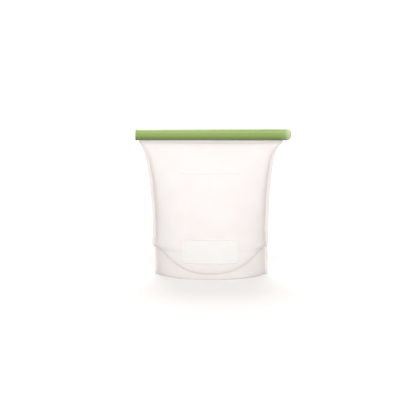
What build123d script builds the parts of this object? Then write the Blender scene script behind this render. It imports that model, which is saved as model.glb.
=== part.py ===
"""Reusable silicone storage bag, closed by a bar that slides over its lips.

The bag stands on its base, with its lips along X.  Two moulded silicone panels are bonded
along their sides, and a curved gusset between them makes the standing base.  Each panel ends
at the top in a half-round lip.  The closed lips form one bead, and a round channel with a slot
along its underside slides over that bead and presses the lips together.  The channel is open
at the -X end and has an end cap at the +X end, which stops against the bead.

Frame: origin on the floor under the middle of the bar, +X along the bar towards its cap,
-Y to the front panel, +Z up.  All sizes are in millimetres.
"""

import os

from build123d import *

# ---------------------------------------------------------------- bag
mouth_width = 199.0         # across the closed mouth, flanges included
base_width = 156.0          # across the standing base, flanges included
base_depth = 72.0           # front to back at the middle of the standing base
body_height = 186.0         # floor to the crease where the panels start to bulge
neck_gap = 3.5              # flat neck that shows between that crease and the bar
panel_wall = 1.2            # silicone of the front and back panels
flange_width = 3.5          # flat bonded edge down each side
bulge_flare = 12.5          # how much wider the bulging part gets on each side, up to the crease
bond_film = 0.3             # cured silicone film in every seam

# How the body fills out: the section through it is a superellipse, and these set its shape.
section_power = 2.3         # of the distance from the middle, side to side
base_roundness = 0.6        # exponent of the section at the base, under 1 is full
mouth_roundness = 1.2       # and at the crease, over 1 is flat at the sides
bulge_power = 2.4           # how late the body narrows on its way up to the crease
flare_shares = ((0.20, 1), (0.55, 4), (0.25, 32))   # share of the edges' flare, and its power
bulge_shares = ((0.35, 1), (0.65, 3))               # the same for the bulging part

# ---------------------------------------------------------------- gusset
gusset_wall = 1.2           # silicone of the base gusset
gusset_low = 10.5           # height of the gusset's seam at the middle of the bag
gusset_high = 41.0          # height of the seam's arc at the side edges
gusset_side_gap = 2.5       # between the gusset's ends and the side flanges

# ---------------------------------------------------------------- raised lines on the front
relief = 0.5                # how far the raised lines stand proud
relief_line = 1.2           # width of a raised line
relief_root = 0.4           # depth of a raised line's root in the panel
label_width = 79.5          # writing window, outside its raised border
label_height = 34.0
label_corner = 4.5
label_low = 23.0            # bottom of the window above the floor
fill_line_height = 146.0    # the highest level that the bag is filled to
fill_line_length = 84.0

# ---------------------------------------------------------------- lips
bead_radius = 4.15          # the closed lips together make a round bead
bead_inset = 4.0            # the bead stops short of each side edge
tongue_radius = 0.6         # ridge along the front lip
tongue_clearance = 0.2      # groove in the back lip, wider than the ridge by this

# ---------------------------------------------------------------- bar
bar_wall = 2.0              # rigid wall of the channel
strip_wall = 0.8            # soft grip strip that lines the channel
strip_tab = 0.55            # the same strip where it lines the slot
running_gap = 0.3           # between the strips and the lips
slot_edge_round = 0.7       # rounding of the slot's outer edges
swell_open = 0.45           # the outside is rounder than the wall needs by this at the open end
swell_capped = 1.15         # and at the capped end, so its top rises over a level underside
open_overhang = 4.5         # the bar's reach past the bag at its open end
closed_overhang = 11.5      # and at its capped end
collar_length = 2.5         # raised rim round the open end
collar_height = 0.3
lead_in = 1.0               # bevel inside the open end
strip_setback = 3.0         # the strips start this far inside the open end
cap_length = 8.0            # of the end cap outside the channel
cap_proud = 0.2             # the cap's step above the channel
cap_nose_round = 6.6
spigot_fit = 0.05           # between the cap's spigot and the channel's bore
cap_stop_gap = 0.3          # between the spigot's face and the end of the bead

# ---------------------------------------------------------------- sizes that follow
seam_half = bond_film / 2 + panel_wall              # mid-plane to the outside of a flat seam
slot_entry = body_height + neck_gap                 # underside of the bar
bore_radius = bead_radius + running_gap + strip_wall
bar_radius = bore_radius + bar_wall
bar_height = slot_entry + bar_radius                # of the bar's centre line
slot_half = seam_half + running_gap + strip_tab     # half the slot in the rigid channel
bar_length = mouth_width + open_overhang + closed_overhang
bag_middle = (open_overhang - closed_overhang) / 2  # the bag's middle, seen from the bar's
bead_half = mouth_width / 2 - bead_inset            # half the bead's length
corner_top = bar_height - bore_radius - running_gap  # the neck's top beside the bead
spigot_start = bag_middle + bead_half + cap_stop_gap
channel_end = bar_length / 2 - cap_length
OVERLAP = 0.4               # how far joined solids are made to run into each other
SECTION_POINTS = 13         # on each curve of a section
STATIONS = 14               # sections up the body
CROWDING = 1.4              # over 1 crowds the sections towards the top


def heights_up_to(top):
    """Heights of the sections, crowded towards the top, where the outline flares quickest."""
    shares = [step / (STATIONS - 1) for step in range(STATIONS)]
    return [top * (1 - (1 - share)**CROWDING) for share in shares]


def places_across():
    """Evenly spaced places across a section, from -1 at its left end to 1 at its right."""
    return [2 * step / (SECTION_POINTS - 1) - 1 for step in range(SECTION_POINTS)]


def flare(z, shares):
    """How much of a flare is reached at height z, from 0 at the floor to 1 at the crease."""
    height = min(z / body_height, 1.0)
    return sum(share * height**power for share, power in shares)


def half_width(z):
    """Half the bag's width at height z, with its flange."""
    return (base_width + (mouth_width - base_width) * flare(z, flare_shares)) / 2


def bulge_half(z):
    """Half the width of the bulging part: a flat corner is left beside it at the top."""
    return base_width / 2 - flange_width + bulge_flare * flare(z, bulge_shares)


def rise(z):
    """How far the panel's middle stands out from the flat seam at height z."""
    share = min(z / body_height, 1.0)
    return (base_depth / 2 - seam_half) * (1 - share**bulge_power)


def wall_curve(z, depth):
    """The front panel's curve at height z, at a depth under its outer face, from -X to +X."""
    half = bulge_half(z) - depth
    level = seam_half - depth
    flatness = (z / body_height) ** 2
    roundness = base_roundness + (mouth_roundness - base_roundness) * flatness
    points = []
    for place in places_across():
        # Evenly spaced angles put more points where the section turns into the flange, and
        # the flat section at the crease has them evenly spaced along the line instead.
        turned = Vector(1, 0).rotate(Axis.Z, 90 * place).Y
        across = turned + (place - turned) * flatness
        shape = max(0.0, 1 - abs(across) ** section_power) ** roundness
        points.append(Vector(half * across, -level - rise(z) * shape, z))
    return Edge.make_spline(points, parameters=[(1 + place) / 2 for place in places_across()])


def layer_section(z, depth, thickness, flanges):
    """Closed outline of one layer of the front wall at height z, seen from above."""
    outer = wall_curve(z, depth)
    inner = wall_curve(z, depth + thickness)
    outer_left, outer_right = outer @ 0, outer @ 1
    inner_left, inner_right = inner @ 0, inner @ 1
    if not flanges:
        return Wire([outer, Edge.make_line(outer_right, inner_right), inner,
                     Edge.make_line(inner_left, outer_left)])
    edge = half_width(z)
    corners = [Vector(side * edge, point.Y, z)
               for side, point in ((-1, outer_left), (1, outer_right),
                                   (1, inner_right), (-1, inner_left))]
    return Wire([Edge.make_line(corners[0], outer_left), outer,
                 Edge.make_line(outer_right, corners[1]),
                 Edge.make_line(corners[1], corners[2]),
                 Edge.make_line(corners[2], inner_right), inner,
                 Edge.make_line(inner_left, corners[3]),
                 Edge.make_line(corners[3], corners[0])])


def front_layer(depth, thickness, top, flanges=True):
    """One layer of the front wall from the floor to a height, as a smooth loft."""
    sections = [layer_section(z, depth, thickness, flanges) for z in heights_up_to(top)]
    return Solid.make_loft(sections)


def flat_box(x_low, x_high, y_low, y_high, z_low, z_high):
    """A box between two corners."""
    size = Box(x_high - x_low, y_high - y_low, z_high - z_low, align=(Align.MIN,) * 3)
    return Pos(x_low, y_low, z_low) * size


def across_bar(sketch, x):
    """A section drawn in local Y and Z round the bar's centre line, placed at x."""
    return Plane(origin=(x, 0, bar_height), x_dir=(0, 1, 0), z_dir=(1, 0, 0)) * sketch


def along_bar(sketch, x_low, x_high):
    """The same section run from x_low to x_high."""
    return extrude(across_bar(sketch, x_low), x_high - x_low)


def to_the_back(shape):
    """The same shape on the other side of the bag's mid-plane."""
    return mirror(shape, about=Plane.XZ)


def seen_from_front(face, y_low=-base_depth, y_high=0.0):
    """A face drawn in X and Z, run through the bag from front to back."""
    start = Plane(origin=(0, y_low, 0), x_dir=(1, 0, 0), z_dir=(0, -1, 0))
    return extrude(start * face, -(y_high - y_low))


# ---------------------------------------------------------------- bag panels
def neck_and_lip():
    """The front panel above its crease: a flat strip that enters the bar, and half of the bead."""
    edge = mouth_width / 2
    strip = flat_box(-edge, edge, -seam_half, -bond_film / 2, body_height, corner_top)
    web = flat_box(-bead_half, bead_half, -seam_half, -bond_film / 2, body_height, bar_height)
    half_disc = Circle(bead_radius) - Pos(bead_radius - bond_film / 2, 0) * Rectangle(
        2 * bead_radius, 2 * bead_radius)
    bead = along_bar(half_disc, -bead_half, bead_half)
    return strip + web + bead


def lip_ridge(radius, side):
    """A round ridge along the lips' meeting face, on the front (-1) or back (+1) lip."""
    centre = side * bond_film / 2
    return along_bar(Pos(centre, 0) * Circle(radius), -bead_half, bead_half)


def raised(outline):
    """A line drawn in X and Z, standing proud of the front panel."""
    skin = front_layer(-relief, relief + relief_root, body_height, flanges=False)
    return seen_from_front(outline) & skin


def label_border():
    """The rounded border round the writing window."""
    middle = label_low + label_height / 2
    outside = RectangleRounded(label_width, label_height, label_corner)
    inside = RectangleRounded(label_width - 2 * relief_line, label_height - 2 * relief_line,
                              label_corner - relief_line)
    return raised(Pos(0, middle) * (outside - inside))


def fill_line():
    """The line that marks how far the bag may be filled."""
    return raised(Pos(0, fill_line_height) * SlotOverall(fill_line_length, relief_line))


def front_panel(wall):
    """The bulging wall with its neck, its lip with the ridge, and the raised lines."""
    ridge = lip_ridge(tongue_radius, -1)
    return Part() + wall + neck_and_lip() + ridge + label_border() + fill_line()


def back_panel(wall):
    """The same wall, neck and lip at the back, with a groove for the front lip's ridge."""
    groove = lip_ridge(tongue_radius + tongue_clearance, 1)
    return to_the_back(Part() + wall + neck_and_lip()) - groove


# ---------------------------------------------------------------- gusset and seams
def below_seam(drop=0.0):
    """Everything under the gusset's seam, seen from the front, as a solid."""
    edge = half_width(0)
    high = gusset_high - drop
    low = -gusset_high
    arc = ThreePointArc((-edge, high), (0, gusset_low - drop), (edge, high))
    under = make_face(arc + Polyline((edge, high), (edge, low), (-edge, low), (-edge, high)))
    inner_edge = edge - flange_width - gusset_side_gap
    window = Pos(0, gusset_high) * Rectangle(2 * inner_edge, 2 * gusset_high)
    return seen_from_front(under & window, -base_depth, base_depth)


def skirt_layer(depth, thickness):
    """A layer behind the front panel's skirt, from the floor up to the gusset's seam."""
    return front_layer(depth, thickness, gusset_high, flanges=False) & below_seam()


def inside_front():
    """The space behind the front wall at the base, from a little inside it to the mid-plane."""
    sections = []
    for z in heights_up_to(gusset_high):
        near = wall_curve(z, panel_wall - OVERLAP)
        left, right = near @ 0, near @ 1
        middle_left, middle_right = Vector(left.X, 0, z), Vector(right.X, 0, z)
        sections.append(Wire([near, Edge.make_line(right, middle_right),
                              Edge.make_line(middle_right, middle_left),
                              Edge.make_line(middle_left, left)]))
    return Solid.make_loft(sections)


def base_bond(wall):
    """The film between the front wall and the gusset's skirt, cut to the wall's inner face."""
    return skirt_layer(panel_wall - OVERLAP, bond_film + OVERLAP) - wall


def base_gusset(wall, bond):
    """The saddle that closes the bottom, with a skirt bonded inside each wall."""
    seat = wall + bond
    skirt = skirt_layer(panel_wall - OVERLAP, OVERLAP + bond_film + gusset_wall) - seat
    saddle = ((below_seam() - below_seam(gusset_wall)) & inside_front()) - seat
    half = saddle + skirt
    return half + to_the_back(half)


def side_bond(side):
    """The film between the two panels' flanges on one side of the bag."""
    near, far = -bond_film / 2, bond_film / 2
    outlines = []
    for z in heights_up_to(body_height):
        outer = half_width(z)
        inner = outer - flange_width
        outlines.append(Wire.make_polygon(
            [(side * inner, near, z), (side * outer, near, z),
             (side * outer, far, z), (side * inner, far, z)]))
    edges = sorted((side * (mouth_width / 2 - flange_width), side * mouth_width / 2))
    neck_film = flat_box(*edges, near, far, body_height, corner_top)
    return Solid.make_loft(outlines) + neck_film


# ---------------------------------------------------------------- bar
def slot():
    """The slot's outline in the bar's section, from the centre line down."""
    depth = 2 * bar_radius
    return Pos(0, -depth / 2) * Rectangle(2 * slot_half, depth)


def swollen(swell, more=0.0):
    """The outside of the bar's section, grown upwards by a swell and all round by more."""
    return Pos(0, swell) * Circle(bar_radius + swell + more)


def bar_channel():
    """The rigid round channel, open at its -X end."""
    open_end = across_bar(swollen(swell_open), -bar_length / 2)
    capped_end = across_bar(swollen(swell_capped), channel_end)
    bore = along_bar(Circle(bore_radius) + slot(), -bar_length / 2, channel_end)
    body = loft([open_end, capped_end]) - bore
    slot_edges = [edge for edge in body.edges()
                  if edge.length > channel_end and edge.center().Z < corner_top]
    outer_edges = sorted(slot_edges, key=lambda edge: edge.center().Z)[:2]
    body = fillet(outer_edges, slot_edge_round)
    rim = swollen(swell_open, collar_height) - Circle(bore_radius) - slot()
    collar = along_bar(rim, -bar_length / 2, -bar_length / 2 + collar_length)
    bevel = Cone(bore_radius + lead_in, bore_radius, lead_in)
    entry = Pos(-bar_length / 2 + lead_in / 2, 0, bar_height) * Rot(0, 90, 0) * bevel
    return body + collar - entry


def grip_strip():
    """The soft strip that lines the front of the bore and the front edge of the slot."""
    inner_half = seam_half + running_gap
    lining = Circle(bore_radius) - Circle(bore_radius - strip_wall)
    quarter = Pos(-bore_radius - inner_half, -bore_radius) * Rectangle(
        2 * bore_radius, 2 * bore_radius)
    tab_low = -bar_radius + slot_edge_round
    tab_high = -bore_radius + strip_wall / 2
    tab = Pos(-(inner_half + slot_half) / 2, (tab_low + tab_high) / 2) * Rectangle(
        slot_half - inner_half, tab_high - tab_low)
    section = (lining & quarter) + tab
    return along_bar(section, -bar_length / 2 + strip_setback, spigot_start)


def end_cap():
    """The rounded cap, pressed into the channel's +X end by a spigot."""
    spigot = along_bar(Circle(bore_radius - spigot_fit), spigot_start, channel_end + OVERLAP)
    head = along_bar(swollen(swell_capped, cap_proud), channel_end, bar_length / 2)
    nose = head.edges().sort_by(Axis.X)[-1]
    head = fillet(nose, cap_nose_round)
    return spigot + head


# ---------------------------------------------------------------- assembly
def write(name, shape, shift=0.0):
    """Writes one sub-part, moved along X by shift."""
    moved = Pos(shift, 0, 0) * shape
    moved.label = name
    export_step(moved, os.path.join("parts", name + ".step"))


def main():
    os.makedirs("parts", exist_ok=True)
    wall = front_layer(0, panel_wall, body_height)
    bond = base_bond(wall)
    strip = grip_strip()
    on_bag = {
        "front_panel": front_panel(wall),
        "back_panel": back_panel(wall),
        "base_gusset": base_gusset(wall, bond),
        "left_side_bond": side_bond(-1),
        "right_side_bond": side_bond(1),
        "front_base_bond": bond,
        "back_base_bond": to_the_back(bond),
    }
    on_bar = {
        "bar_channel": bar_channel(),
        "bar_end_cap": end_cap(),
        "front_grip_strip": strip,
        "back_grip_strip": to_the_back(strip),
    }
    for name, shape in on_bag.items():
        write(name, shape, bag_middle)
    for name, shape in on_bar.items():
        write(name, shape)


main()
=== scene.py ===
"""Looks of a stand-up silicone food bag that a green bar closes by sliding over its lips.

The CAD frame gives the places; the soft walls are modelled here as closed shells with their
real thickness.  Lengths are in metres.  x is measured from the middle of the bag in the shape
functions, and moved to the frame's x when a mesh is made.
"""

import math

import bpy
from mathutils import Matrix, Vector


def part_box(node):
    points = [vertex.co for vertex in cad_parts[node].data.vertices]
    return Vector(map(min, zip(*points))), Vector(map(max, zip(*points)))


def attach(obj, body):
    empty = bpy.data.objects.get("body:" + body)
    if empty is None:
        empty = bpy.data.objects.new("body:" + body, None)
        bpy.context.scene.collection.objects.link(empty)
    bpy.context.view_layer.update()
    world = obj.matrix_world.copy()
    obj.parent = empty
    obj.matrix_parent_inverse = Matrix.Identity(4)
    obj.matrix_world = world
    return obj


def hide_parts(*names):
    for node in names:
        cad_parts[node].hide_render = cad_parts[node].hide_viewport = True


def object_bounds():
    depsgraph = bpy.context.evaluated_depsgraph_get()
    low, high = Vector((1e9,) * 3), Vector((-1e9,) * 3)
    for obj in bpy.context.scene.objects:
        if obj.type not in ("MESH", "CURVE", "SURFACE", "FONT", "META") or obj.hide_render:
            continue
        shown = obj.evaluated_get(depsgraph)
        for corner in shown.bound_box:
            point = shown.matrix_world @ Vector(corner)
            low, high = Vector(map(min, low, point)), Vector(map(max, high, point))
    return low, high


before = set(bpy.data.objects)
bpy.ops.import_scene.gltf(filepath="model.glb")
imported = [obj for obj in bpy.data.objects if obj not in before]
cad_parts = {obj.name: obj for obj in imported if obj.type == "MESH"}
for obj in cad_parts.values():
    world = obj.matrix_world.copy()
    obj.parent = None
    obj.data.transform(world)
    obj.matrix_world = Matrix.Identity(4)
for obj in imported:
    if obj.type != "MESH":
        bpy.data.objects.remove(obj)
cad_low, cad_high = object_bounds()

MM = 0.001

# ---------------------------------------------------------------- places from the frame
front_low, front_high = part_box("front_panel")
back_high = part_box("back_panel")[1]
cap_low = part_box("bar_end_cap")[0]

bag_middle = (front_low.x + front_high.x) / 2
mouth_half = (front_high.x - front_low.x) / 2
cap_proud = 0.2 * MM                        # the cap's step above and under the channel
bar_radius = 7.25 * MM                      # of the channel's outside, without its taper
bar_underside = cap_low.z + cap_proud
bar_axis = bar_underside + bar_radius
bead_radius = back_high.z - bar_axis
base_depth = back_high.y                    # from the mid-plane to the back of the base

# ---------------------------------------------------------------- silicone walls
panel_wall = 1.2 * MM
film = 0.3 * MM                             # cured seam between two layers
film_recess = 0.25 * MM                     # it stops this far inside the side edge
film_clear = 0.01 * MM                      # and keeps this far from each layer
level = film / 2 + panel_wall               # from the mid-plane to the outside of a flat border
rim_round = 0.35 * MM                       # the outer edges are eased by this
neck = 3.3 * MM                             # flat strip between the crease and the bar
crease = bar_underside - neck
border = 4.3 * MM                           # flat border down each side of the body
skirt_border = 3.5 * MM                     # and of the skirt under it
bulge_power = 2.4                           # how late the body narrows on its way up
section_power = 2.3                         # of the section through it, a superellipse
base_roundness = 0.6                        # its exponent at the base, under 1 is full,
mouth_roundness = 1.2                       # and at the crease, over 1 is flat at the sides
fold_depth = 2.8 * MM                       # the wall folds sharply out of the upper border,
fold_reach = 2.2 * MM                       # over about this width,
fold_fade = 26 * MM                         # and is smooth again this far from it
fold_start = 60 * MM                        # the fold begins at this height
fold_rise = 70 * MM                         # is full this much higher,
fold_top_power = 12                         # and goes again close under the crease
soft_rise = 6 * MM                          # a wall that stands out by this much can dent
broad_dents = 0.30                          # how deep, in millimetres
small_dents = 0.16

# ---------------------------------------------------------------- outline from the front
# The two sides of a handled bag differ a little: -1 is left, 1 is right.
skirt_half = {-1: 78.5 * MM, 1: 79.4 * MM}  # half the width under the seam, borders included
notch = {-1: 0.4 * MM, 1: 1.6 * MM}         # the skirt is narrower by this at the seam's ends
waist_half = {-1: 80.5 * MM, 1: 79.8 * MM}  # half the width of the body over the seam
hip = {-1: 1.1 * MM, 1: 0.8 * MM}           # and it is wider by this right over the seam
early_flare = {-1: 0.79, 1: 0.66}           # share of the flare that starts low,
flare_power = {-1: 3.6, 1: 4.0}             # with this power of the height,
corner_power = 32                           # and the rest is in the corners
base_half = 78.0 * MM                       # half the width of the standing base
seam_end = 38 * MM                          # the body starts at this height at the sides,
seam_step = 4 * MM                          # has its own width this much higher,
border_step = 14 * MM                       # and its own border this much higher
hip_start = 8 * MM                          # the hip starts to fade this far over that height,
hip_fade = 14 * MM                          # and is gone this much higher
notch_under = 1 * MM                        # the notch is deepest this far under it,
notch_height = 4 * MM                       # and fades over about this height
corner_start = 168 * MM                     # the borders narrow from this height up,
corner_height = 16 * MM                     # over this height,
corner_narrowing = 0.5                      # by this share,
corner_side = 62 * MM                       # and the crease rises this far from the middle,
corner_width = 30 * MM                      # over this width,
corner_lift = 0.8                           # by this share of the neck

# ---------------------------------------------------------------- seam of the base gusset
seam_low = 8.2 * MM                         # in the middle
seam_high = 40.5 * MM                       # at the sides
seam_reach = 71.0 * MM                      # it levels out this far from the middle
seam_power = 2.5                            # of the distance from the middle
seam_levelling = 8                          # how sharply it turns level there
seam_band = 1.75 * MM                       # half the band of fine rows along the seam
swell = {"middle": 1.6 * MM, "side": 3.2 * MM}        # the body stands this far past the skirt
swell_reach = {"middle": 3.5 * MM, "side": 6.5 * MM}  # and gets there over about this height
swell_power = 0.8                           # under 1 turns in sharply at the seam
set_back = 0.6                              # the skirt is set back by this share of the swell
gusset_foot = 0.2 * MM                      # the gusset starts this far over the floor
gusset_clear = 0.4 * MM                     # and keeps this far from the mid-plane,
inner_clear = 0.1 * MM                      # and its inner face this far
gusset_short = 3 * MM                       # it stops this far before the borders

# ---------------------------------------------------------------- tints of the silicone: painted shade of its creases and folds, and a whiter window
seam_shade_half = 1.3 * MM                  # half the darker line where the layers are bonded, partly painted shade of the crease over the seam
skirt_blend = 0.6 * MM                      # the skirt's tint starts over this height
border_blend = 8 * MM                       # the border's tint, painted shade of the fold beside it, fades into the wall over this
SKIRT_LAYERS_AND_SHADE = (0.945, 0.968, 0.960)          # two layers of silicone, and painted shade for the unlit inside behind them
SEAM_BOND_AND_SHADE = (0.88, 0.87, 0.85)              # cured silicone between them, and painted shade in the crease where the body turns in over the seam
BORDER_LAYERS_AND_SHADE = (0.945, 0.935, 0.94)          # two layers again down both sides, and painted shade of the steep fold next to them
LINE_SHADE = (0.97, 0.945, 0.945)            # painted shade along the raised lines
WINDOW_TINT = (1.012, 1.035, 1.02)          # the face that is written on is whiter

# ---------------------------------------------------------------- raised lines on the front
relief = 0.5 * MM                           # how far the window's border stands out
fill_line_share = 0.8                       # and the fill line, as a share of that
line_half = 0.6 * MM                        # half the width of a raised line
line_slope = 0.35 * MM                      # half the width of its sloping sides
label_half_width = 39.75 * MM
label_bottom = 23.0 * MM
label_top = 57.0 * MM
label_corner = 4.5 * MM
fill_line_height = 146.0 * MM
fill_line_half = 42.0 * MM

# ---------------------------------------------------------------- lips
bead_half = mouth_half - 4.0 * MM           # the bead stops short of each side edge
lip_top = bar_axis - bead_radius - 1.4 * MM  # the wall's rows end here, and its lip starts
strip_rise = 0.6 * MM                       # the plain strip beside the bead ends this far up
bead_step = 0.4 * MM                        # the flat lip ends this far under the bead
bead_split = 0.04                           # radians short of the bead's top, where it is split
foot_step = 0.1 * MM                        # the inner face's foot is set in by this


def clamp(value):
    """The value, kept between 0 and 1."""
    return max(0.0, min(1.0, value))


def ease(value):
    """0 below 0, 1 above 1, and a smooth step between."""
    t = clamp(value)
    return t * t * (3 - 2 * t)


def between(a, b, t):
    """The value a share t of the way from a to b."""
    return a + (b - a) * t


# ---------------------------------------------------------------- shape of the bag
def edge_half(side, z):
    """Half the bag's width on one side, -1 left or +1 right, borders included."""
    share = clamp(z / crease)
    early = early_flare[side]
    flare = early * share**flare_power[side] + (1 - early) * share**corner_power
    body = between(waist_half[side], mouth_half, flare)
    body += hip[side] * (1 - ease((z - seam_end - hip_start) / hip_fade))
    from_notch = (z - seam_end + notch_under) / notch_height
    skirt = skirt_half[side] - notch[side] * math.exp(-from_notch**2)
    return between(skirt, body, ease((z - seam_end) / seam_step))


def bulge_half(side, z):
    """Half the width of the bulging part on one side."""
    over_seam = ease((z - seam_end) / border_step)
    in_corner = ease((z - corner_start) / corner_height)
    flat = between(skirt_border, border, over_seam) * (1 - corner_narrowing * in_corner)
    return edge_half(side, z) - flat


def seam_height(x):
    """The gusset's seam, a U seen from the front, level where it crosses the borders."""
    steep = (abs(x) / seam_reach)**seam_power
    levelled = steep / (1 + steep**seam_levelling)**(1 / seam_levelling)
    return seam_low + (seam_high - seam_low) * levelled


def crease_height(x):
    """Where the bulge starts under the bar: it runs up to the bar near the corners."""
    corner = ease((abs(x) - corner_side) / corner_width)
    return crease + corner_lift * neck * corner


def body_rise(x, z):
    """How far the bulge stands out of the flat border."""
    side = 1 if x > 0 else -1
    wide = bulge_half(side, z)
    across = clamp(abs(x) / wide)
    share = clamp(z / crease_height(x))
    roundness = between(base_roundness, mouth_roundness, share**2)
    shape = (1 - across**section_power)**roundness
    inside = max(wide - abs(x), 0)
    fold = fold_depth * (1 - math.exp(-inside / fold_reach)) * math.exp(-(inside / fold_fade)**2)
    fold *= ease((z - fold_start) / fold_rise) * (1 - share**fold_top_power)
    return (base_depth - level) * (1 - share**bulge_power) * shape + fold


def inner_rise(x, z, depth):
    """The same at a depth under the outer face, where the bulge is narrower too."""
    side = 1 if x > 0 else -1
    wide = bulge_half(side, z)
    squeezed = x * wide / (wide - depth)
    return body_rise(squeezed, z)


def unevenness(x, z):
    """Soft dents, under half a millimetre, of a moulded wall that has been handled."""
    broad = math.sin(x * 55 + 0.6) * math.sin(z * 47 + 1.1)
    small = math.sin(x * 121 + z * 61 + 0.4) * math.sin(z * 97 - x * 33)
    return (broad_dents * broad + small_dents * small) * MM


def swell_at(x):
    """How far the body stands out past the skirt, and over what height."""
    aside = ease(abs(x) / base_half)
    return (between(swell["middle"], swell["side"], aside),
            between(swell_reach["middle"], swell_reach["side"], aside))


def above_seam(x, z):
    """The skirt set back under the seam, and the body's swell over it."""
    height = max(z - seam_height(x), 0)
    out, reach = swell_at(x)
    return -set_back * out + out * (1 - math.exp(-(height / reach)**swell_power))


def border_distance(x, z):
    """Distance from the middle of the writing window's border."""
    middle = (label_bottom + label_top) / 2
    half_height = (label_top - label_bottom) / 2
    far_x = abs(x) - (label_half_width - label_corner)
    far_z = abs(z - middle) - (half_height - label_corner)
    outside = math.hypot(max(far_x, 0), max(far_z, 0)) + min(max(far_x, far_z), 0)
    return abs(outside - label_corner + line_half)


def in_window(x, z):
    """Whether a place is inside the writing window's border."""
    return abs(x) < label_half_width - line_half and label_bottom < z < label_top


def fill_line_distance(x, z):
    """Distance from the middle of the fill line, past its ends too."""
    beyond = max(abs(x) - fill_line_half, 0)
    return math.hypot(beyond, z - fill_line_height)


def raised(distance):
    """Height of a raised line at a distance from its middle."""
    return relief * (1 - ease((distance - line_half + line_slope) / (2 * line_slope)))


def outer_depth(x, z, marked):
    """From the mid-plane to the outer face of a panel."""
    rise = body_rise(x, z)
    soft = clamp(rise / soft_rise)
    depth = level + rise + soft * (above_seam(x, z) + unevenness(x, z))
    if marked:
        depth += raised(border_distance(x, z))
        depth += fill_line_share * raised(fill_line_distance(x, z))
    return depth


def inner_depth(x, z):
    """From the mid-plane to the inner face of a panel."""
    rise = inner_rise(x, z, panel_wall)
    soft = clamp(rise / soft_rise)
    return film / 2 + rise + soft * (above_seam(x, z) + unevenness(x, z))


def tint(x, z, marked):
    """What the silicone's colour is multiplied by at a place on the outer face: painted shade on
    the skirt, the seam, the borders and the raised lines, and the whiter window.
    """
    # painted shade along the window's border and the fill line
    if marked and min(border_distance(x, z), fill_line_distance(x, z)) < line_half:
        return LINE_SHADE
    if marked and in_window(x, z):
        return WINDOW_TINT
    # painted shade: the borders and the fold beside them are darkened
    beside = abs(x) - bulge_half(1 if x > 0 else -1, z)
    on_border = ease((beside + border_blend) / border_blend)
    # painted shade, partly for the double layers: the skirt is darkened under the seam
    height = z - seam_height(x)
    on_skirt = 1 - ease(height / skirt_blend + 0.5)
    # painted shade, partly for the bond: a dark line along the seam
    on_seam = math.exp(-(height / seam_shade_half)**2)
    colour = [between(1, tone, on_skirt) for tone in SKIRT_LAYERS_AND_SHADE]
    on_border *= 1 - on_skirt
    colour = [value * between(1, tone, on_border) for value, tone in zip(colour, BORDER_LAYERS_AND_SHADE)]
    colour = [value * between(1, tone, on_seam) for value, tone in zip(colour, SEAM_BOND_AND_SHADE)]
    return colour


# ---------------------------------------------------------------- grid of a panel
core_half = 47 * MM                         # straight columns fill the middle, up to here
line_margin = 0.8 * MM                      # fine rows and columns reach this far past a line
window_margin = 1.2 * MM                    # and the window's rows start this far under it,
over_seam_rows = 3.6 * MM                   # but at least this far over the seam
fill_margin = 2 * MM                        # fine rows on both sides of the fill line
crease_under = 6 * MM                       # and round the crease
crease_over = 0.8 * MM
first_guess = 30 * MM                       # height at which a column's x is first guessed


def spread(low, high, count, power=1.0):
    """count places from low up to but not including high; power over 1 crowds them at high."""
    return [low + (high - low) * (1 - (1 - i / count)**power) for i in range(count)]


def core_columns():
    """Places across the middle of a panel, close together where the window's sides run."""
    side_in = label_half_width - label_corner - line_margin
    side_out = label_half_width + line_margin
    half = spread(0, side_in, 13) + spread(side_in, side_out, 16)
    half += spread(side_out, core_half, 3)
    return [-x for x in reversed(half[1:])] + half


CORE = core_columns()
OUTER = spread(0, 1, 16, 1.5) + [1.0]       # shares of the way from the core to the bulge's end
FLAT = (0.25, 0.55, 0.85, 1.0)              # shares of the flat border


def column_count():
    return len(CORE) + 2 * (len(OUTER) + len(FLAT) + 1)


def column_place(index, z):
    """x of a column at height z."""
    middle = len(OUTER) + len(FLAT) + 1
    if middle <= index < middle + len(CORE):
        return CORE[index - middle]
    side = -1 if index < middle else 1
    step = middle - 1 - index if side < 0 else index - middle - len(CORE)
    bulge, edge = bulge_half(side, z), edge_half(side, z)
    if step < len(OUTER):
        return side * between(core_half, bulge, OUTER[step])
    step -= len(OUTER)
    if step < len(FLAT):
        return side * between(bulge, edge - rim_round, FLAT[step])
    return side * edge


def over_window(start):
    """Where the window's rows end: a little higher at the sides, where they start higher."""
    return label_top + 5 * MM + 0.2 * start


def guide_heights(x):
    """Heights that the rows run between, from the floor to the bar."""
    seam = seam_height(x)
    start = max(label_bottom - window_margin, seam + over_seam_rows)
    top = crease_height(x)
    return (rim_round, seam - seam_band, seam + seam_band, start, over_window(start),
            fill_line_height - fill_margin, fill_line_height + fill_margin, top - crease_under,
            top + crease_over, lip_top)


def window_rows():
    """Shares of the rows from under the window to over it, crowded at its two lines."""
    low = label_bottom - window_margin
    high = over_window(low)
    line_zone = label_corner + line_margin
    heights = spread(low, label_bottom - line_margin, 1)
    heights += spread(label_bottom - line_margin, label_bottom + line_zone, 15)
    heights += spread(label_bottom + line_zone, label_top - line_zone, 9)
    heights += spread(label_top - line_zone, label_top + line_margin, 15)
    heights += spread(label_top + line_margin, high, 3)
    return [(z - low) / (high - low) for z in heights]


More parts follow.
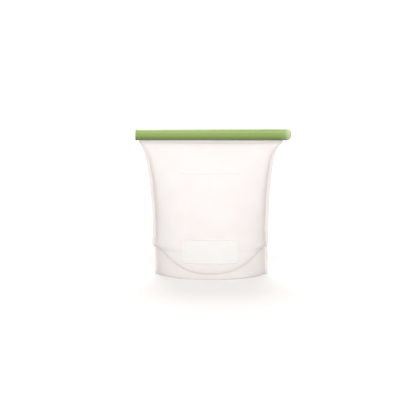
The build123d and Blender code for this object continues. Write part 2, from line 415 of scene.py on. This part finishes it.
# The rows between each two guides, as shares of the way up.
BANDS = (
    spread(0, 1, 7),                        # skirt
    spread(0, 1, 10),                       # seam
    spread(0, 1, 4),                        # up to the window
    window_rows(),
    spread(0, 1, 18),                       # up to the fill line
    spread(0, 1, 12),                       # fill line
    spread(0, 1, 9, 1.2),                   # up to the crease
    spread(0, 1, 12),                       # crease
    spread(0, 1, 4) + [1.0],                # up to the lip
)
ROWS = [(band, share) for band, shares in enumerate(BANDS) for share in shares]


def row_height(row, x):
    """Height of a row at x; a row is the band that it lies in and its share of the way up."""
    band, share = row
    guides = guide_heights(x)
    return between(guides[band], guides[band + 1], share)


def bead_points(x):
    """The top of the outer face, as (depth, height): half a bead, or the plain strip's rim."""
    steps = 12
    if abs(x) > bead_half:
        rim = (level - rim_round, lip_top + strip_rise)
        return [(level, lip_top + strip_rise / 2)] + [rim] * steps + [(film / 2, rim[1])]
    foot = math.asin(level / bead_radius)
    points = [(level, bar_axis - bead_radius * math.cos(foot) - bead_step)]
    for i in range(steps):
        turn = between(foot, math.pi - bead_split, i / (steps - 1))
        points.append((bead_radius * math.sin(turn), bar_axis - bead_radius * math.cos(turn)))
    return points + [(film / 2, bar_axis + bead_radius)]


def panel_loop(index, sign, marked):
    """One column of a panel, a closed loop: up the outer face, over the lip, down the inner."""
    outer, inner = [], []
    tints = []
    rim = index in (0, column_count() - 1)
    for row in ROWS:
        # a row's height depends on x and a column's x on the height, so both are found in turn
        guess = column_place(index, row_height(row, column_place(index, first_guess)))
        z = row_height(row, guess)
        x = column_place(index, z)
        near, far = outer_depth(x, z, marked), inner_depth(x, z)
        if rim:
            near -= rim_round
        outer.append(Vector((x, near, z)))
        inner.append(Vector((x, far, z)))
        tints.append(tint(x, z, marked))
    x = column_place(index, lip_top)
    top = [Vector((x, depth, z)) for depth, z in bead_points(x)]
    foot_x = column_place(index, 0)
    foot_out = Vector((foot_x, outer_depth(foot_x, 0, False) - rim_round, 0))
    foot_in = Vector((foot_x, inner_depth(foot_x, 0) + foot_step, 0))
    loop = [foot_out] + outer + top + inner[::-1] + [foot_in]
    colours = [tints[0]] + tints + [(1, 1, 1)] * len(top) + tints[::-1] + [tints[0]]
    return [Vector((p.x + bag_middle, sign * p.y, p.z)) for p in loop], colours


# ---------------------------------------------------------------- meshes
def make_object(name, points, faces, flip=False):
    """A smooth-shaded mesh object whose creases stay sharp."""
    mesh = bpy.data.meshes.new(name)
    if flip:
        faces = [tuple(reversed(face)) for face in faces]
    mesh.from_pydata([tuple(p) for p in points], [], faces)
    mesh.update()
    mesh.shade_smooth()
    mesh.set_sharp_from_angle(angle=math.radians(50))
    piece = bpy.data.objects.new(name, mesh)
    bpy.context.scene.collection.objects.link(piece)
    return piece


def loops_to_mesh(name, loops, flip=False):
    """A closed shell through closed loops of equal length, with its two ends filled."""
    size = len(loops[0])
    faces = []
    for i in range(len(loops) - 1):
        for j in range(size):
            a, b = i * size + j, i * size + (j + 1) % size
            faces.append((a, b, b + size, a + size))
    for i, turned in ((0, True), (len(loops) - 1, False)):
        for j in range(size // 2 - 1):
            k = size - 1 - j
            face = (i * size + j, i * size + j + 1, i * size + k - 1, i * size + k)
            faces.append(tuple(reversed(face)) if turned else face)
    points = [p for loop in loops for p in loop]
    return make_object(name, points, faces, flip)


def paint(piece, colours=None):
    """Stores the tint of each point, painted shade included, plain white where no colours are
    given.
    """
    layer = piece.data.attributes.new("tint", "FLOAT_COLOR", "POINT")
    for i in range(len(piece.data.vertices)):
        layer.data[i].color = (*(colours[i] if colours else (1, 1, 1)), 1)


def make_panel(name, sign, marked):
    """A wall of the bag; sign is -1 in front and 1 behind, and marked gives the raised lines."""
    columns = [panel_loop(i, sign, marked) for i in range(column_count())]
    panel = loops_to_mesh(name, [loop for loop, tints in columns], flip=sign < 0)
    paint(panel, [colour for loop, tints in columns for colour in tints])
    return panel


def make_side_film(name, side):
    """The cured film between the two borders on one side, just short of their edge."""
    half = film / 2 - film_clear
    loops = []
    for z in spread(rim_round, lip_top, 60, 1.6) + [lip_top]:
        outer = edge_half(side, z) - film_recess
        inner = bulge_half(side, z) + panel_wall
        loops.append([Vector((bag_middle + side * x, y, z)) for x, y in
                      ((inner, -half), (outer, -half), (outer, half), (inner, half))])
    film_piece = loops_to_mesh(name, loops, flip=side < 0)
    paint(film_piece)
    return film_piece


def gusset_loop(x):
    """One column of the gusset: front skirt, saddle and back skirt, with their thickness."""
    top = seam_height(x)
    gap = panel_wall + film
    steps = 6

    def skirt_depth(z, depth):
        wall = level + inner_rise(x, z, gap + depth) - set_back * swell_at(x)[0]
        return wall - gap - depth

    outer, inner = [], []
    for i in range(steps + 1):
        z = between(gusset_foot, top, i / steps)
        outer.append((-max(skirt_depth(z, 0), gusset_clear), z))
        inner.append((-max(skirt_depth(z, panel_wall), inner_clear), min(z, top - panel_wall)))
    outer += [(-y, z) for y, z in reversed(outer)]
    inner += [(-y, z) for y, z in reversed(inner)]
    return [Vector((x + bag_middle, y, z)) for y, z in outer + inner[::-1]]


def make_gusset():
    """The gusset's skin, with its columns crowded at both ends, where it narrows."""
    reach = base_half - skirt_border - gusset_short
    columns = 64
    places = [reach * math.sin(math.pi * (i / columns - 0.5)) for i in range(columns + 1)]
    gusset = loops_to_mesh("gusset_skin", [gusset_loop(x) for x in places], flip=True)
    # the whole gusset gets the skirt's tint, with its painted shade
    paint(gusset, [SKIRT_LAYERS_AND_SHADE] * len(gusset.data.vertices))
    return gusset


# ---------------------------------------------------------------- colours
MILKY = ((0.97, 0.875, 0.855, 1), (0.985, 0.90, 0.88, 1))     # from cloudy to clear
SEAM = ((0.91, 0.875, 0.86, 1), (0.93, 0.90, 0.885, 1))
BAR_GREEN = ((0.222, 0.336, 0.060, 1), (0.241, 0.357, 0.070, 1))
BAR_HIGHLIGHT = (0.62, 0.73, 0.45, 1)            # painted highlight, light falling on the bar from the right
STRIP_GREEN = ((0.20, 0.30, 0.09, 1), (0.24, 0.35, 0.11, 1))

# How far a painted highlight pales a piece of the bar, by the share of its length: the cap's nose
# and the channel's end next to it.
CHANNEL_HIGHLIGHT = ((0.955, 0), (1.0, 0.16))
CAP_HIGHLIGHT = ((0.42, 0.16), (0.66, 0.6), (0.88, 0.9))


# ---------------------------------------------------------------- materials
def new_material(name):
    """A material with one Principled shader, which is returned too."""
    material = bpy.data.materials.new(name)
    material.use_nodes = True
    nodes = material.node_tree.nodes
    nodes.clear()
    output = nodes.new("ShaderNodeOutputMaterial")
    shader = nodes.new("ShaderNodeBsdfPrincipled")
    material.node_tree.links.new(shader.outputs["BSDF"], output.inputs["Surface"])
    return material, shader


def noise(material, scale, detail=3.0, stretch=(1, 1, 1)):
    """A noise texture in object space, scale in features per metre."""
    tree = material.node_tree
    place = tree.nodes.new("ShaderNodeTexCoord")
    mapping = tree.nodes.new("ShaderNodeMapping")
    mapping.inputs["Scale"].default_value = stretch
    texture = tree.nodes.new("ShaderNodeTexNoise")
    texture.inputs["Scale"].default_value = scale
    texture.inputs["Detail"].default_value = detail
    tree.links.new(place.outputs["Object"], mapping.inputs["Vector"])
    tree.links.new(mapping.outputs["Vector"], texture.inputs["Vector"])
    return texture.outputs["Fac"]


def ramp(material, factor, stops):
    """A colour ramp over a factor; stops are (place, colour)."""
    node = material.node_tree.nodes.new("ShaderNodeValToRGB")
    elements = node.color_ramp.elements
    elements[0].position, elements[0].color = stops[0]
    elements[1].position, elements[1].color = stops[-1]
    for place, colour in stops[1:-1]:
        elements.new(place).color = colour
    material.node_tree.links.new(factor, node.inputs["Fac"])
    return node.outputs["Color"]


def along(tree, axis):
    """One axis of the generated place.

    On a piece it is the share of the way through its box, and in the world the direction.
    """
    place = tree.nodes.new("ShaderNodeTexCoord")
    split = tree.nodes.new("ShaderNodeSeparateXYZ")
    tree.links.new(place.outputs["Generated"], split.inputs["Vector"])
    return split.outputs[axis]


def calculated(tree, operation, *values):
    """A Math node over one or two sockets."""
    node = tree.nodes.new("ShaderNodeMath")
    node.operation = operation
    for value, socket in zip(values, node.inputs):
        tree.links.new(value, socket)
    return node.outputs["Value"]


def eased(tree, value, start, end, low=0.0, high=1.0):
    """low where the value is under start, high where it is over end, and smooth between."""
    node = tree.nodes.new("ShaderNodeMapRange")
    node.interpolation_type = "SMOOTHSTEP"
    for name, number in (("From Min", start), ("From Max", end), ("To Min", low),
                         ("To Max", high)):
        node.inputs[name].default_value = number
    tree.links.new(value, node.inputs["Value"])
    return node.outputs["Result"]


def blended(material, mode, factor, first, second):
    """Two colours, each a socket or plain, joined by a blend mode.

    The colour sockets of a Mix node are its inputs 6 and 7 and its output 2.
    """
    node = material.node_tree.nodes.new("ShaderNodeMix")
    node.data_type = "RGBA"
    node.blend_type = mode
    for value, socket in ((factor, node.inputs["Factor"]), (first, node.inputs[6]),
                          (second, node.inputs[7])):
        if isinstance(value, bpy.types.NodeSocket):
            material.node_tree.links.new(value, socket)
        else:
            socket.default_value = value
    return node.outputs[2]


def bump(material, shader, height, distance, strength):
    """Fine relief on a shader, distance high."""
    node = material.node_tree.nodes.new("ShaderNodeBump")
    node.inputs["Distance"].default_value = distance
    node.inputs["Strength"].default_value = strength
    material.node_tree.links.new(height, node.inputs["Height"])
    material.node_tree.links.new(node.outputs["Normal"], shader.inputs["Normal"])


def grey(value):
    """A plain grey, as a ramp takes it."""
    return (value, value, value, 1)


def silicone(name, colours, see_through):
    """Milky platinum silicone: cloudy colour, matt skin with a fine moulded grain."""
    material, shader = new_material(name)
    link = material.node_tree.links.new
    cloudy = ramp(material, noise(material, 38, detail=4), list(zip((0.35, 0.65), colours)))
    # the colour is multiplied by the tints on the points, most of them painted shade
    layer = material.node_tree.nodes.new("ShaderNodeAttribute")
    layer.attribute_name = "tint"
    tinted = blended(material, "MULTIPLY", 1.0, cloudy, layer.outputs["Color"])
    link(tinted, shader.inputs["Base Color"])
    haze = noise(material, 130, detail=2)
    link(ramp(material, haze, [(0.3, grey(0.42)), (0.7, grey(0.52))]), shader.inputs["Roughness"])
    grain = noise(material, 1800, detail=2)
    bump(material, shader, grain, 0.02 * MM, 0.5)
    shader.inputs["IOR"].default_value = 1.41
    shader.inputs["Transmission Weight"].default_value = see_through
    shader.inputs["Subsurface Weight"].default_value = 0.6
    shader.inputs["Subsurface Radius"].default_value = (1.0, 0.85, 0.8)
    shader.inputs["Subsurface Scale"].default_value = 1.0 * MM
    shader.inputs["Specular IOR Level"].default_value = 0.4
    return material


def bar_plastic(name, highlight_stops):
    """Satin green plastic with faint flow marks; painted shade darkens its underside by the slot,
    and a painted highlight pales it towards the cap's nose.
    """
    material, shader = new_material(name)
    link = material.node_tree.links.new
    flow = noise(material, 30, detail=4, stretch=(0.15, 1, 1))
    colour = ramp(material, flow, list(zip((0.2, 0.8), BAR_GREEN)))
    # painted shade: the colour darkens towards the piece's underside, where the slot is
    up = along(material.node_tree, "Z")
    colour = blended(material, "MULTIPLY", 1.0, colour,
                     ramp(material, up, [(0.02, grey(0.30)), (0.44, grey(1.0))]))
    # painted highlight: pale towards the cap's nose, standing in for light from the right side
    length = along(material.node_tree, "X")
    highlighted = ramp(material, length, [(place, grey(pale)) for place, pale in highlight_stops])
    link(blended(material, "MIX", highlighted, colour, BAR_HIGHLIGHT), shader.inputs["Base Color"])
    scuffs = noise(material, 220, detail=3, stretch=(0.2, 1, 1))
    link(ramp(material, scuffs, [(0.3, grey(0.30)), (0.7, grey(0.38))]), shader.inputs["Roughness"])
    bump(material, shader, noise(material, 900, detail=2), 0.015 * MM, 0.4)
    shader.inputs["IOR"].default_value = 1.49
    shader.inputs["Specular IOR Level"].default_value = 0.9
    shader.inputs["Subsurface Weight"].default_value = 0.1
    shader.inputs["Subsurface Radius"].default_value = (0.6, 1.0, 0.3)
    shader.inputs["Subsurface Scale"].default_value = 1.0 * MM
    return material


def grip_rubber():
    """The soft strips that line the bar."""
    material, shader = new_material("grip_rubber")
    link = material.node_tree.links.new
    tone = noise(material, 60, detail=3)
    link(ramp(material, tone, list(zip((0.3, 0.7), STRIP_GREEN))), shader.inputs["Base Color"])
    link(ramp(material, noise(material, 400), [(0.3, grey(0.6)), (0.7, grey(0.75))]),
         shader.inputs["Roughness"])
    bump(material, shader, noise(material, 1500, detail=2), 0.02 * MM, 0.6)
    return material


def dress(piece, material):
    """Gives a piece its one material."""
    piece.data.materials.clear()
    piece.data.materials.append(material)


def dress_cad(node, material):
    """A CAD node keeps its mesh and gets a better material."""
    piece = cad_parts[node]
    for slot in piece.material_slots:
        slot.material = material
    piece.data.shade_smooth()


# ---------------------------------------------------------------- stage
FLOOR_SEEN = (0.87, 0.85, 0.835, 1)         # the floor where it is looked at, with the shadow
FLOOR_LIGHT = (0.60, 0.60, 0.60, 1)         # and where it only gives light back to the bag
FLOOR_HALF = 6.0
FAR_START, FAR_END = 0.5, 1.5               # white is added to it between these distances
SKY = 0.92                                  # strength of the surrounding light
SKY_SIDES = 0.4                             # share of it that comes from the far sides
SIDE_START, SIDE_END = 0.25, 0.8            # and where it goes down to that, by a ray's x
AIM_HEIGHT = 0.0912                         # what the camera looks at, a little under the middle
AIM_ASIDE = -1.1 * MM                       # and beside the bag's middle
CAMERA_DISTANCE = 2.0
CAMERA_HEIGHT = 0.538
CAMERA_TURN = math.radians(0.3)
CAMERA_LENS = 126                           # millimetres, on a sensor 36 wide
KEY_POWER = 11.9                            # watts
TOP_POWER = 9.8
BACK_POWER = 16.0


def seen_directly(tree, mirrored):
    """1 for rays from the camera and through see-through walls, 0 for light.

    Where mirrored is true it is 1 for gloss too.
    """
    rays = tree.nodes.new("ShaderNodeLightPath").outputs
    direct = calculated(tree, "MAXIMUM", rays["Is Camera Ray"], rays["Is Transmission Ray"])
    if mirrored:
        direct = calculated(tree, "MAXIMUM", direct, rays["Is Glossy Ray"])
    return direct


def make_floor():
    """A wide pale floor, which meets the white surroundings far away."""
    corners = [Vector((x * FLOOR_HALF, y * FLOOR_HALF, 0))
               for x, y in ((-1, -1), (1, -1), (1, 1), (-1, 1))]
    floor = make_object("studio_floor", corners, [(0, 1, 2, 3)])
    material, shader = new_material("studio_white")
    tree = material.node_tree
    direct = seen_directly(tree, False)
    shader.inputs["Roughness"].default_value = 1.0
    shader.inputs["Specular IOR Level"].default_value = 0.0
    tree.links.new(blended(material, "MIX", direct, FLOOR_LIGHT, FLOOR_SEEN),
                   shader.inputs["Base Color"])
    shader.inputs["Emission Color"].default_value = (1, 1, 1, 1)
    place = tree.nodes.new("ShaderNodeTexCoord")
    distance = tree.nodes.new("ShaderNodeVectorMath")
    distance.operation = "LENGTH"
    tree.links.new(place.outputs["Object"], distance.inputs[0])
    far = eased(tree, distance.outputs["Value"], FAR_START, FAR_END)
    tree.links.new(calculated(tree, "MULTIPLY", direct, far), shader.inputs["Emission Strength"])
    dress(floor, material)


def make_world():
    """White wherever it is looked at; as light it is weaker from the far left and right."""
    world = bpy.data.worlds.new("studio")
    bpy.context.scene.world = world
    world.use_nodes = True
    tree = world.node_tree
    background = tree.nodes["Background"]
    background.inputs["Color"].default_value = (1, 1, 1, 1)
    aside = calculated(tree, "ABSOLUTE", along(tree, "X"))
    light = eased(tree, aside, SIDE_START, SIDE_END, SKY, SKY * SKY_SIDES)
    strength = tree.nodes.new("ShaderNodeMix")
    strength.data_type = "FLOAT"
    tree.links.new(seen_directly(tree, True), strength.inputs["Factor"])
    tree.links.new(light, strength.inputs["A"])
    strength.inputs["B"].default_value = 1.0
    tree.links.new(strength.outputs["Result"], background.inputs["Strength"])


def make_lamp(name, place, size, power, mirrored=True):
    """A soft box that looks at the middle of the bag, seen or not in its gloss."""
    data = bpy.data.lights.new(name, "AREA")
    data.shape = "RECTANGLE"
    data.size, data.size_y = size
    data.energy = power
    lamp = bpy.data.objects.new(name, data)
    lamp.location = place
    aim = Vector((0, 0, cad_high.z / 2)) - Vector(place)
    lamp.rotation_euler = aim.to_track_quat("-Z", "Y").to_euler()
    lamp.visible_glossy = mirrored
    bpy.context.scene.collection.objects.link(lamp)


def make_lamps():
    """A broad soft light in front, one along the top of the bar and one from behind."""
    make_lamp("key_box", (0.0, -2.0, 0.38), (1.8, 0.6), KEY_POWER, mirrored=False)
    make_lamp("top_box", (0.0, -0.9, 1.8), (1.6, 0.4), TOP_POWER)
    make_lamp("back_box", (-0.1, 1.1, 1.65), (1.2, 0.9), BACK_POWER)


def make_camera():
    """Long lens, a little above the bag, almost square to it."""
    target = Vector((bag_middle + AIM_ASIDE, 0, AIM_HEIGHT))
    away = Vector((math.sin(CAMERA_TURN), -math.cos(CAMERA_TURN), 0))
    place = target + CAMERA_DISTANCE * away
    place.z = CAMERA_HEIGHT
    data = bpy.data.cameras.new("camera")
    data.sensor_width = 36
    data.lens = CAMERA_LENS
    data.clip_start, data.clip_end = 0.05, 30
    camera = bpy.data.objects.new("camera", data)
    camera.location = place
    camera.rotation_euler = (target - place).to_track_quat("-Z", "Y").to_euler()
    bpy.context.scene.collection.objects.link(camera)
    bpy.context.scene.camera = camera


# ---------------------------------------------------------------- assembly
def main():
    """Sets up the stage, makes the soft pieces and dresses the CAD ones."""
    bpy.context.scene.view_settings.view_transform = "Standard"
    make_camera()
    make_world()
    make_lamps()
    make_floor()

    milky = silicone("milky_silicone", MILKY, 0.05)
    seam = silicone("seam_silicone", SEAM, 0.2)
    pieces = (
        (make_panel("front_wall", -1, True), "front_panel", milky, "silicone"),
        (make_panel("back_wall", 1, False), "back_panel", milky, "silicone"),
        (make_side_film("left_seam", -1), "left_side_bond", seam, "seam_film"),
        (make_side_film("right_seam", 1), "right_side_bond", seam, "seam_film"),
        (make_gusset(), "base_gusset", milky, "silicone"),
    )
    for piece, node, material, slot in pieces:
        dress(piece, material)
        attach(piece, "bag")
        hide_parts(node)
    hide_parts("front_base_bond", "back_base_bond")

    # the channel's end and the cap's nose get a painted highlight
    dress_cad("bar_channel", bar_plastic("bar_plastic", CHANNEL_HIGHLIGHT))
    dress_cad("bar_end_cap", bar_plastic("cap_plastic", CAP_HIGHLIGHT))
    strip = grip_rubber()
    dress_cad("front_grip_strip", strip)
    dress_cad("back_grip_strip", strip)


main()
